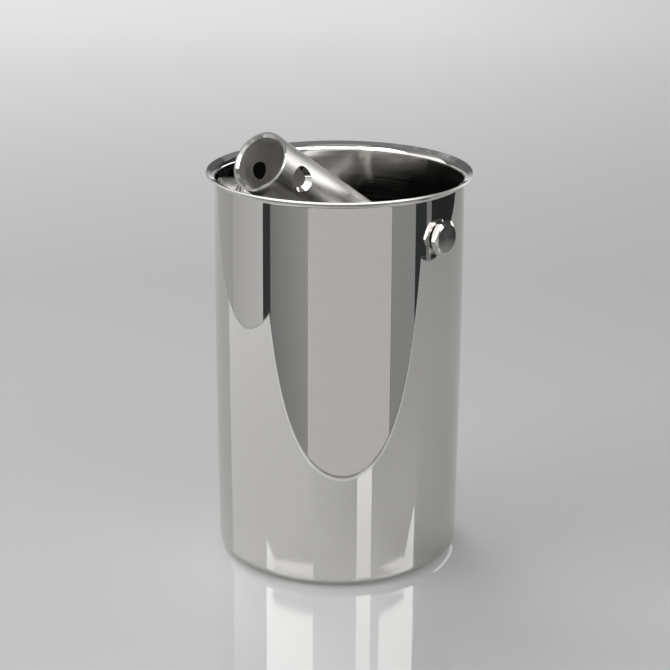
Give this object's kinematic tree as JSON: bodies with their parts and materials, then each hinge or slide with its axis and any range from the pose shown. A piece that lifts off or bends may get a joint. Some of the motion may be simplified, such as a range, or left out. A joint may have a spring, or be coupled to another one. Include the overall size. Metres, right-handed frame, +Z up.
{
  "type": "swing sampling beaker",
  "caption": "Steel sampling beaker with a flared lip; a handle socket tube swings on a bar held across the mouth by hex screws.",
  "frame": {"origin": "centre of the base's underside", "axes": "+Z up the beaker's axis, X along the cross bar, the socket tube leaning towards -Y at rest"},
  "size_m": [0.1118, 0.1118, 0.1895],
  "materials": {
    "polished_steel": "mirror-polished stainless steel, very fine turned lines round the wall",
    "brushed_steel": "satin stainless steel, brushed along the tube and bar",
    "turned_steel": "stainless steel hex bar with a turned end face",
    "white_polymer": "white low-friction polymer"
  },
  "bodies": {
    "beaker_body": {"beaker": "polished_steel", "cross_bar": "brushed_steel", "spacer_sleeve_right": "brushed_steel", "spacer_sleeve_left": "brushed_steel", "seal_washer_right": "white_polymer", "seal_washer_left": "white_polymer", "hex_screw_right": "turned_steel", "hex_screw_left": "turned_steel"},
    "socket": {"socket_tube": "brushed_steel", "pivot_bush_right": "white_polymer", "pivot_bush_left": "white_polymer"}
  },
  "joints": [
    {"name": "tube_swing", "type": "hinge", "parent": "beaker_body", "child": "socket", "pos_m": [0, 0, 0.1472], "axis": [-1, 0, 0], "range_deg": [0, 114.33]}
  ]
}
